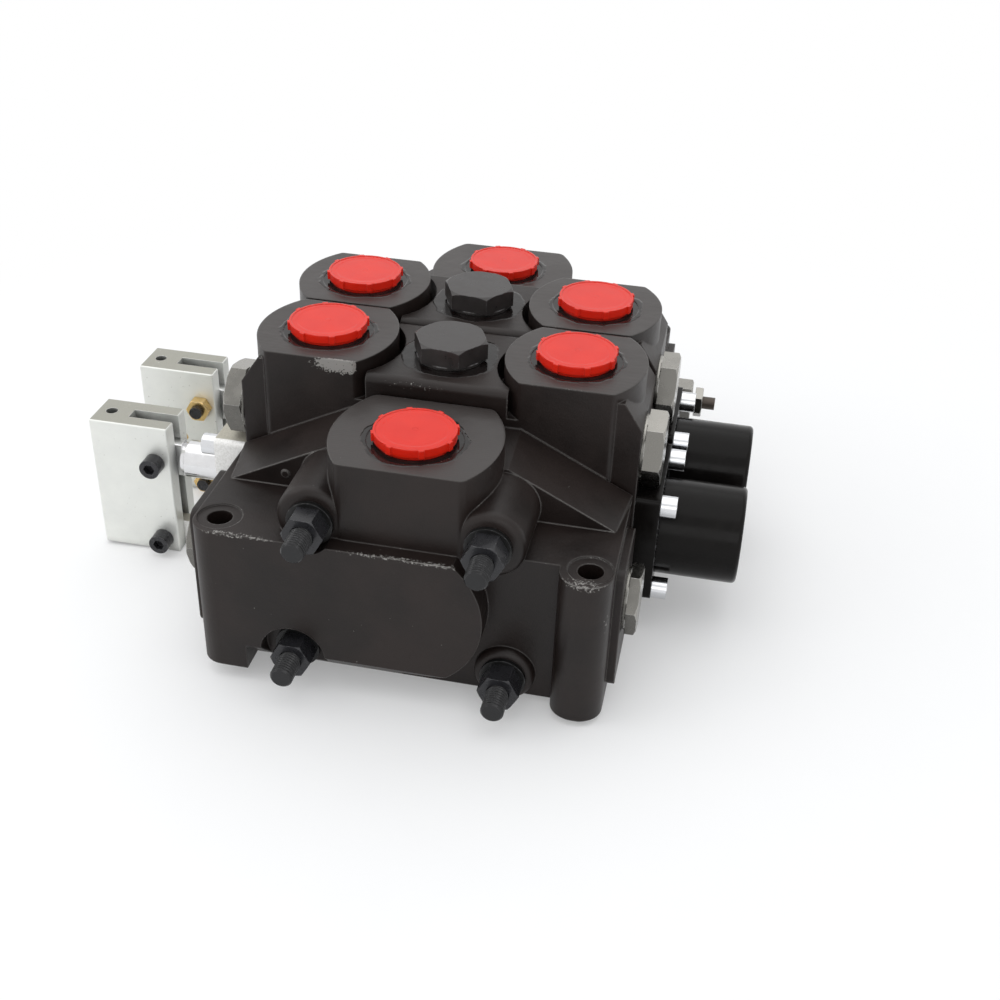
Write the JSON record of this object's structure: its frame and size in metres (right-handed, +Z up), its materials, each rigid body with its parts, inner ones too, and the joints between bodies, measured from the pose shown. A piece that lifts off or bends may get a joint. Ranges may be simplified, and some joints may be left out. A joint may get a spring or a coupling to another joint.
{
  "type": "sectional control valve",
  "caption": "Stack of cast hydraulic valve sections held by tie rods, with lever-worked spools, centring spring caps, relief valve and capped ports.",
  "frame": {"origin": "middle of the four foot holes, on the plane that the feet stand on", "axes": "+X along the spools from the levers to the spring caps, +Y along the tie rods from the outlet casting to the inlet casting, +Z up out of the ports"},
  "size_m": [0.379, 0.3436, 0.1616],
  "materials": {
    "painted_iron": "semi-gloss dark brown-black paint over cast iron",
    "black_steel": "black oxide",
    "nitrile_rubber": "matte",
    "red_cap": "glossy red plastic",
    "zinc_steel": "bright zinc plate",
    "ground_steel": "ground and hard chromed",
    "spring_steel": "drawn spring wire",
    "speckled_casting": "speckled light casting",
    "aluminium_block": "sawn and milled",
    "yellow_zinc": "yellow passivated zinc"
  },
  "bodies": {
    "stack": {"bracket_screws": "zinc_steel", "cap_flange_1": "black_steel", "cap_flange_2": "black_steel", "cap_screws": "zinc_steel", "centring_spring_inner_1": "spring_steel", "centring_spring_inner_2": "spring_steel", "centring_spring_outer_1": "spring_steel", "centring_spring_outer_2": "spring_steel", "check_plug_1": "black_steel", "check_plug_2": "black_steel", "check_spring_1": "spring_steel", "check_spring_2": "spring_steel", "inlet_plug_left": "zinc_steel", "inlet_port_cap": "red_cap", "inlet_section": "painted_iron", "lever_bracket_1": "speckled_casting", "lever_bracket_2": "speckled_casting", "main_relief_body": "zinc_steel", "main_relief_lock_nut": "zinc_steel", "main_relief_screw": "zinc_steel", "main_relief_spring": "spring_steel", "outlet_plug_left": "zinc_steel", "outlet_plug_right": "zinc_steel", "outlet_port_cap": "red_cap", "outlet_section": "painted_iron", "section_seals": "nitrile_rubber", "service_plug_left_1": "zinc_steel", "service_plug_left_2": "zinc_steel", "service_plug_right_1": "zinc_steel", "service_plug_right_2": "zinc_steel", "spool_wipers": "nitrile_rubber", "spring_cap_1": "black_steel", "spring_cap_2": "black_steel", "tie_rod_nuts": "black_steel", "tie_rod_washers": "black_steel", "tie_rods": "black_steel", "work_port_cap_a1": "red_cap", "work_port_cap_a2": "red_cap", "work_port_cap_b1": "red_cap", "work_port_cap_b2": "red_cap", "work_section_1": "painted_iron", "work_section_2": "painted_iron"},
    "spool_1": {"spool_1": "ground_steel", "spring_collar_1": "ground_steel", "spool_end_bolt_1": "ground_steel"},
    "lever_1": {"lever_fork_1": "aluminium_block", "fork_bolts_1": "black_steel", "fork_nuts_1": "yellow_zinc"},
    "check_poppet_1": {"check_poppet_1": "ground_steel"},
    "spool_2": {"spool_2": "ground_steel", "spring_collar_2": "ground_steel", "spool_end_bolt_2": "ground_steel"},
    "lever_2": {"lever_fork_2": "aluminium_block", "fork_bolts_2": "black_steel", "fork_nuts_2": "yellow_zinc"},
    "check_poppet_2": {"check_poppet_2": "ground_steel"},
    "main_relief_poppet": {"main_relief_poppet": "ground_steel"}
  },
  "joints": [
    {"name": "spool_1_slide", "type": "slide", "parent": "stack", "child": "spool_1", "axis": [1, 0, 0], "range_m": [-0.007, 0.007], "stiffness_N_per_m": 20000, "deforming": ["centring_spring_inner_1", "centring_spring_outer_1"]},
    {"name": "lever_1_swing", "type": "hinge", "parent": "stack", "child": "lever_1", "pos_m": [-0.1735, -0.035, 0.001], "axis": [0, 1, 0], "range_deg": [-7.6, 7.6]},
    {"name": "check_poppet_1_lift", "type": "slide", "parent": "stack", "child": "check_poppet_1", "axis": [0, 0, 1], "range_m": [0, 0.006], "stiffness_N_per_m": 500, "springref_m": -0.004, "deforming": ["check_spring_1"]},
    {"name": "spool_2_slide", "type": "slide", "parent": "stack", "child": "spool_2", "axis": [1, 0, 0], "range_m": [-0.007, 0.007], "stiffness_N_per_m": 20000, "deforming": ["centring_spring_inner_2", "centring_spring_outer_2"]},
    {"name": "lever_2_swing", "type": "hinge", "parent": "stack", "child": "lever_2", "pos_m": [-0.1735, 0.035, 0.001], "axis": [0, 1, 0], "range_deg": [-7.6, 7.6]},
    {"name": "check_poppet_2_lift", "type": "slide", "parent": "stack", "child": "check_poppet_2", "axis": [0, 0, 1], "range_m": [0, 0.006], "stiffness_N_per_m": 500, "springref_m": -0.004, "deforming": ["check_spring_2"]},
    {"name": "main_relief_lift", "type": "slide", "parent": "stack", "child": "main_relief_poppet", "axis": [1, 0, 0], "range_m": [0, 0.002], "stiffness_N_per_m": 2000, "springref_m": -0.005, "deforming": ["main_relief_spring"]}
  ],
  "couplings": [
    {"joint": "lever_1_swing", "follows": "spool_1_slide", "rad_per_m": 18.868},
    {"joint": "lever_2_swing", "follows": "spool_2_slide", "rad_per_m": 18.868}
  ]
}
